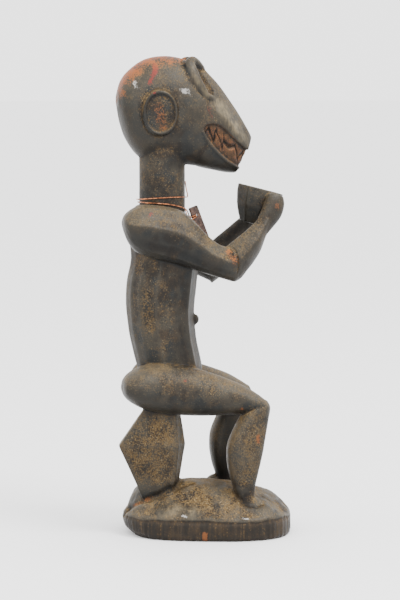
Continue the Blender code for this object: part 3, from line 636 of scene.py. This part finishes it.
# Moves the smooth forms inward by the depth of the knife cuts and hollows; also gives where the mouth, the
# tooth lines, the cracks and the base's upright side are
def carveDetails(places, normals):
    spots = np.column_stack([-places[:, 1], places[:, 2], places[:, 0]]) / mm
    f, z, s = spots.T
    inward, inMouth, toothLine = cutMouth(spots)
    socket = depthInside(f, z, face["socket"])
    inward += face["socketDepth"] * easeStep(socket, -0.5, 3) * (z > 480) * (np.abs(s) > 6)
    crack = np.zeros(len(f))
    for path, half, depth, both in grooves:
        for way in ([path, otherSide(path)] if both else [path]):
            cut = np.exp(-(distanceTo(spots, way) / half) ** 2)
            inward += depth * cut
            crack = np.maximum(crack, cut * (depth > 0) * min(1, depth / 1.5))
    ring = np.exp(-((earShare(f, z) - 1.06) / 0.05) ** 2) * (np.abs(s) > 18)
    inward += ring * relief["earGroove"]
    crack = np.maximum(crack, ring)

    head = easeStep(z, 395, 410)
    base = easeStep(-z, -66, -50)
    tool = sum(scoops(places / mm, size, seed) * depth for size, seed, depth in relief["scoops"])
    inward -= tool * (1 - 0.5 * head) * (1 - inMouth)
    lumps = sum(softNoise(places / mm, size, seed) * depth for size, seed, depth in relief["lumps"])
    inward += base * easeStep(z, 20, 30) * lumps
    rim = carving["wall"] + 0.5
    for size, seed, depth in relief["rim"]:
        rim = rim + softNoise(places / mm * (1, 1, 0.1), size, seed) * depth
    wall = easeStep(rim - z, -0.7, 0.7) * easeStep(-normals[:, 2], -0.75, -0.35)
    size, seed, depth = relief["streaks"]
    inward += wall * (relief["wallDepth"] + softNoise(places / mm * (1, 1, 0.08), size, seed) * depth)
    return places - normals * inward[:, None] * mm, inMouth, toothLine, crack, wall


# Keeps places inside the CAD's box, and puts those that are nearly on the ground on it
def keepInside(places):
    low, high = (np.array(corner) for corner in cadBounds)
    places = np.clip(places, low, high)
    places[places[:, 2] < 0.4 * mm, 2] = 0
    return places


# Point attributes that the wood's material reads: how hollow, sharp and upward the surface is, which the
# material turns into dust, wear, painted shade and painted highlights, and the stains and the paths of
# painted shade
def paintFigure(mesh, inMouth, toothLine, crack, wall):
    places, normals, edges = placesOf(mesh), normalsOf(mesh), edgesOf(mesh)
    spots = np.column_stack([-places[:, 1], places[:, 2], places[:, 0]]) / mm
    near = ((relax(places, edges, 5) - places) * normals).sum(1) / mm
    wide = ((relax(places, edges, 60) - places) * normals).sum(1) / mm
    values = {
        "hollow": np.clip(near * 3.2, 0, 1) * 0.6 + np.clip(wide * 0.7, 0, 1) * 0.6 + crack * 0.6,
        "edge": np.clip(-near * 4.5, 0, 1) * 0.7 + np.clip(-wide * 0.55, 0, 1) * 0.5,
        "upward": np.clip(normals[:, 2], -1, 1) * 0.5 + 0.5,
        "mouth": inMouth,
        "teeth": toothLine,
        "wall": wall,
    }
    for name in ("red", "fresh", "white", "dust", "dark", "plane"):
        values[name] = np.zeros(len(places))
    for name, path, reach, strength, both in stainsAndShade:
        for way in ([path, otherSide(path)] if both else [path]):
            amount = strength * easeStep(-distanceTo(spots, way), -reach * 1.15, -reach * 0.1)
            values[name] = np.maximum(values[name], amount)
    for name, amount in values.items():
        layer = mesh.attributes.new(name, "FLOAT", "POINT")
        layer.data.foreach_set("value", np.clip(amount, 0, 1.5).astype(np.float32))


# One value in a material: it wraps a node's output, and arithmetic on it adds Math nodes
class Flow:
    def __init__(self, tree, socket):
        self.tree = tree
        self.socket = socket

    # Adds any node: its settings first, then its sockets by name or number, and gives one of its outputs
    def node(self, kind, settings=None, sockets=None, output=0):
        made = self.tree.nodes.new(kind)
        for key, value in (settings or {}).items():
            setattr(made, key, value)
        for key, value in (sockets or {}).items():
            if isinstance(value, Flow):
                self.tree.links.new(value.socket, made.inputs[key])
            else:
                made.inputs[key].default_value = value
        return Flow(self.tree, made.outputs[output])

    def math(self, operation, a, b):
        return self.node("ShaderNodeMath", {"operation": operation}, {0: a, 1: b})

    def __add__(self, other):
        return self.math("ADD", self, other)

    def __radd__(self, other):
        return self.math("ADD", other, self)

    def __sub__(self, other):
        return self.math("SUBTRACT", self, other)

    def __rsub__(self, other):
        return self.math("SUBTRACT", other, self)

    def __mul__(self, other):
        return self.math("MULTIPLY", self, other)

    # Runs from 0 at low to 1 at high, level at both ends
    def ease(self, low, high):
        return self.node("ShaderNodeMapRange", {"interpolation_type": "SMOOTHSTEP"},
                         {"Value": self, "From Min": low, "From Max": high})

    # The first colour where this value is 0, the second where it is 1
    def mix(self, first, second):
        return self.node("ShaderNodeMix", {"data_type": "RGBA"}, {0: self, 6: first, 7: second}, 2)


def color(red, green, blue):
    return (red, green, blue, 1)


# A new material, a flow of its object coordinates, and its shader node
def newMaterial(name):
    material = bpy.data.materials.new(name)
    material.use_nodes = True
    tree = material.node_tree
    shader = tree.nodes["Principled BSDF"]
    where = Flow(tree, None).node("ShaderNodeTexCoord", output="Object")
    return material, shader, where


def noiseAt(where, scale, detail=2.0, stretch=None, roughness=0.5):
    spot = where
    if stretch:
        spot = where.node("ShaderNodeMapping", sockets={"Vector": where, "Scale": stretch})
    sockets = {"Vector": spot, "Scale": scale, "Detail": detail, "Roughness": roughness}
    return where.node("ShaderNodeTexNoise", sockets=sockets)


def linkTo(shader, name, flow):
    flow.tree.links.new(flow.socket, shader.inputs[name])


# Small relief from a height, with its depth in metres
def linkBump(shader, height, strength, distance):
    sockets = {"Strength": strength, "Distance": distance, "Height": height}
    linkTo(shader, "Normal", height.node("ShaderNodeBump", sockets=sockets))


wood = {
    "darkest": color(0.0030, 0.0026, 0.0022),
    "dark": color(0.0095, 0.0068, 0.0044),
    "brown": color(0.0270, 0.0165, 0.0080),
    "grey": color(0.0310, 0.0265, 0.0190),
    "blue": color(0.0115, 0.0125, 0.0120),
    "ochre": color(0.090, 0.055, 0.0200),
    "pale": color(0.150, 0.116, 0.066),
    "red": color(0.115, 0.0155, 0.0115),
    "fresh": color(0.150, 0.048, 0.0125),
    "white": color(0.25, 0.24, 0.225),
    "mouth": color(0.054, 0.0250, 0.0080),
}


def woodMaterial():
    material, shader, where = newMaterial("dark_patinated_wood")

    def painted(name):
        return where.node("ShaderNodeAttribute", {"attribute_name": name}, output="Fac")

    hollow, edge, upward, wall = painted("hollow"), painted("edge"), painted("upward"), painted("wall")
    height = where.node("ShaderNodeSeparateXYZ", sockets={0: where}, output="Z")
    broad = noiseAt(where, 22, 3)
    patch = noiseAt(where, 75, 4, roughness=0.6)
    grain = noiseAt(where, 330, 3, (1, 1, 0.22), 0.6)
    streak = noiseAt(where, 260, 3, (1, 1, 0.06), 0.6)
    fleck = noiseAt(where, 520, 2, roughness=0.55)
    speck = noiseAt(where, 900, 1)
    low = 1 - height.ease(0.10, 0.18)
    mound = 1 - height.ease(0.056, 0.066)

    tone = (patch * 0.7 + broad * 0.6 + grain * 0.4).ease(0.72, 1.05)
    base = tone.mix(wood["dark"], wood["brown"])
    greyed = (broad * 0.8 + noiseAt(where, 40, 3) * 0.5 + upward * 0.12).ease(0.66, 0.86)
    base = greyed.mix(base, wood["grey"])
    # Painted shade: blue-grey patches gather on downward faces, and downward faces turn dark brown
    base = (noiseAt(where, 48, 2) * 0.9 - upward * 0.3).ease(0.32, 0.46).mix(base, wood["blue"])
    base = ((1 - upward) * 0.55 + (1 - patch) * 0.5).ease(0.62, 0.9).mix(base, wood["dark"])

    plane = painted("plane")
    # Ochre dust: more on upward faces, low down, along the dust paths and in hollows, and less on the worn
    # planes, low on the base and along the paths of painted shade
    dusty = upward * 0.26 + low * 0.12 + painted("dust") * 0.22 + patch * 0.5 + hollow * 0.1 - 0.05
    dusty = dusty - painted("dark") * 0.14 - plane * 0.16 - mound * (0.06 + noiseAt(where, 55, 2) * 0.12)
    ochre = (fleck * 0.72 + dusty).ease(0.70, 0.92)
    base = (ochre * 0.8).mix(base, wood["ochre"])
    base = ((speck + dusty * 0.4).ease(0.78, 0.88) * 0.75).mix(base, wood["pale"])
    base = ((fleck * 0.8 + grain * 0.4).ease(0.52, 0.40) * 0.85).mix(base, wood["darkest"])
    # Rubbed wear and a painted highlight: grey along sharp ridges
    base = ((edge * 0.8 + (patch - 0.5) * 0.5).ease(0.12, 0.6) * 0.5).mix(base, wood["grey"])

    worn = (grain * 0.5 + patch * 0.6 + broad * 0.3).ease(0.55, 0.85)
    base = (plane * 0.75).mix(base, worn.mix(wood["grey"], wood["pale"]))
    # The base's upright side: streaked brown with ochre flecks, its own colour, and also kept darker as
    # painted shade on a side face
    side = (streak * 0.8 + patch * 0.7 + broad * 0.5).ease(0.82, 1.22)
    side = side.mix(wood["dark"], wood["brown"])
    side = ((fleck * 0.6 + streak * 0.5).ease(0.62, 0.74) * 0.7).mix(side, wood["ochre"])
    base = (wall * 0.9).mix(base, side)
    # Painted shade: darkest in hollows, grooves, cracks and round the ear
    base = (hollow.ease(0.35, 1.0) * 0.6).mix(base, wood["darkest"])

    # The mouth's own ochre brown, darker in its hollows as painted shade
    mouth = (patch * 0.6 + fleck * 0.6 - hollow * 0.25).ease(0.42, 0.72).mix(wood["dark"], wood["mouth"])
    mouth = ((speck + edge * 0.2).ease(0.6, 0.75) * 0.6).mix(mouth, wood["fresh"])
    base = (painted("mouth") * 0.92).mix(base, mouth)
    # Painted shade: the lines between the teeth are darkest
    base = (painted("teeth") * 0.85).mix(base, wood["darkest"])
    for name in ("red", "fresh", "white"):
        amount = painted(name)
        left = (amount * 1.35 + (patch * 1.1 + fleck * 0.9 + speck * 0.5 - 1.25) * 2.6).ease(0.35, 1.15)
        base = (left * 0.85 * amount.ease(0.02, 0.3)).mix(base, wood[name])

    # Painted light and shade: the colour is scaled up on upward faces, and down on downward faces and along
    # the "dark" paths of painted shade
    light = (0.42 + upward.ease(0.3, 0.9) * 0.75) * (1 - painted("dark") * 0.55)
    base = base.node("ShaderNodeVectorMath", {"operation": "SCALE"}, {0: base, "Scale": light * 1.25})
    linkTo(shader, "Base Color", base)
    linkTo(shader, "Roughness", 0.62 - edge * 0.22 + ochre * 0.2 - tone * 0.05)

    roughWood = grain * 0.5 + fleck * 0.5 + speck * 0.25 + patch * 0.6
    linkBump(shader, roughWood, 0.5, 0.0009)
    shader.inputs["Specular IOR Level"].default_value = 0.17
    return material


# Old copper: bright where it is rubbed, brown where it lies in the dirt
def copperMaterial():
    material, shader, where = newMaterial("old_copper")
    tarnish = (noiseAt(where, 260, 3, roughness=0.6) * 0.8 + noiseAt(where, 1100, 2) * 0.4).ease(0.5, 0.72)
    base = tarnish.mix(color(0.50, 0.19, 0.085), color(0.10, 0.036, 0.016))
    linkTo(shader, "Base Color", base)
    linkTo(shader, "Roughness", 0.28 + tarnish * 0.3)
    linkTo(shader, "Metallic", 1 - tarnish * 0.35)
    linkBump(shader, noiseAt(where, 2400, 2), 0.3, 0.0001)
    return material


# The amulet's wood: mauve brown with long dark grain
def amuletMaterial():
    material, shader, where = newMaterial("amulet_wood")
    grain = noiseAt(where, 700, 3, (1, 1, 0.12), 0.6)
    patch = noiseAt(where, 160, 3)
    along = (grain * 0.7 + patch * 0.4).ease(0.42, 0.68)
    base = along.mix(color(0.018, 0.010, 0.008), color(0.085, 0.046, 0.034))
    base = (noiseAt(where, 900, 2) + patch * 0.3).ease(0.72, 0.84).mix(base, color(0.15, 0.098, 0.066))
    linkTo(shader, "Base Color", base)
    linkTo(shader, "Roughness", 0.5 + grain * 0.25)
    linkBump(shader, grain, 0.4, 0.0004)
    shader.inputs["Specular IOR Level"].default_value = 0.3
    return material


# The wooden figure: all forms joined on a fine grid, carved, lightened and then painted with its stains and
# wear and with painted shade and highlights
def makeFigure():
    places, triangles, start = [], [], 0
    for spots, faces in carvingSurfaces(carving):
        places.append(spots * mm)
        triangles.append(faces + start)
        start += len(spots)
    figure = addPiece("carved_wood", meshFrom("carved_wood", np.vstack(places), np.vstack(triangles)))
    join = figure.modifiers.new("join", "REMESH")
    join.mode = "VOXEL"
    join.voxel_size = carving["voxel"] * mm
    applyModifiers(figure)
    mesh = figure.data
    movePlaces(mesh, relax(placesOf(mesh), edgesOf(mesh), 2))
    carved = carveDetails(placesOf(mesh), normalsOf(mesh))[0]
    movePlaces(mesh, keepInside(carved))
    print("figure carved:", trianglesOf(mesh), "triangles")
    lighter = figure.modifiers.new("lighter", "DECIMATE")
    lighter.ratio = min(1, carving["triangles"] / trianglesOf(mesh))
    applyModifiers(figure)
    mesh = figure.data
    movePlaces(mesh, keepInside(placesOf(mesh)))
    marks = carveDetails(placesOf(mesh), normalsOf(mesh))[1:]
    paintFigure(mesh, *marks)
    mesh.shade_smooth()
    mesh.materials.append(woodMaterial())
    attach(figure, "root")
    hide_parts("carved_figure")
    print("figure painted:", trianglesOf(mesh), "triangles")


studio = {
    "halfFloor": 60,
    "floor": color(0.93, 0.93, 0.93),
    "sky": 2.8,
    # Lamps: name, place, size and power
    "lamps": [("key", (-1.5, -1.2, 2.6), 1.2, 95), ("fill", (-2.4, 0.8, 1.2), 1.6, 25)],
    "lampAim": (0, 0, 0.3),
}


def makeStudio():
    half = studio["halfFloor"]
    corners = np.array([(-half, -half, 0), (half, -half, 0), (half, half, 0), (-half, half, 0)], float)
    floor = addPiece("floor", meshFrom("floor", corners, np.array([(0, 1, 2), (0, 2, 3)])))
    material, shader = newMaterial("floor")[:2]
    shader.inputs["Base Color"].default_value = studio["floor"]
    shader.inputs["Roughness"].default_value = 0.9
    shader.inputs["Specular IOR Level"].default_value = 0.1
    floor.data.materials.append(material)

    world = bpy.data.worlds.new("studio")
    world.use_nodes = True
    world.node_tree.nodes["Background"].inputs["Color"].default_value = color(1, 1, 1)
    world.node_tree.nodes["Background"].inputs["Strength"].default_value = studio["sky"]
    bpy.context.scene.world = world
    for name, place, size, power in studio["lamps"]:
        light = bpy.data.lights.new(name, "AREA")
        light.size = size
        light.energy = power
        lamp = bpy.data.objects.new(name, light)
        lamp.location = place
        lamp.rotation_euler = (Vector(studio["lampAim"]) - Vector(place)).to_track_quat("-Z", "Y").to_euler()
        bpy.context.scene.collection.objects.link(lamp)


view = {
    "aim": (0, 0.0047, 0.269),
    "distance": 2.6,
    "azimuth": -102.5,
    "elevation": 5.5,
    "metresPerPixel": 1.15e-3,
    "pictureHeight": 600,
}


# The photograph's view: the lens shows the picture's height at its scale, at the distance of the aim
def makeCamera():
    a, e = math.radians(view["azimuth"]), math.radians(view["elevation"])
    aim = Vector(view["aim"])
    outward = Vector((math.sin(a) * math.cos(e), -math.cos(a) * math.cos(e), math.sin(e)))
    eye = aim + view["distance"] * outward
    lens = bpy.data.cameras.new("camera")
    lens.sensor_fit = "VERTICAL"
    lens.sensor_height = 24
    lens.lens = view["distance"] / view["metresPerPixel"] * lens.sensor_height / view["pictureHeight"]
    camera = bpy.data.objects.new("camera", lens)
    camera.location = eye
    camera.rotation_euler = (aim - eye).to_track_quat("-Z", "Y").to_euler()
    bpy.context.scene.collection.objects.link(camera)
    bpy.context.scene.camera = camera


makeCamera()
makeStudio()
makeFigure()
for name, material in (("neck_wire", copperMaterial()), ("neck_pendant", amuletMaterial())):
    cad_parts[name].data.materials.clear()
    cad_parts[name].data.materials.append(material)
print("wire and pendant finished")
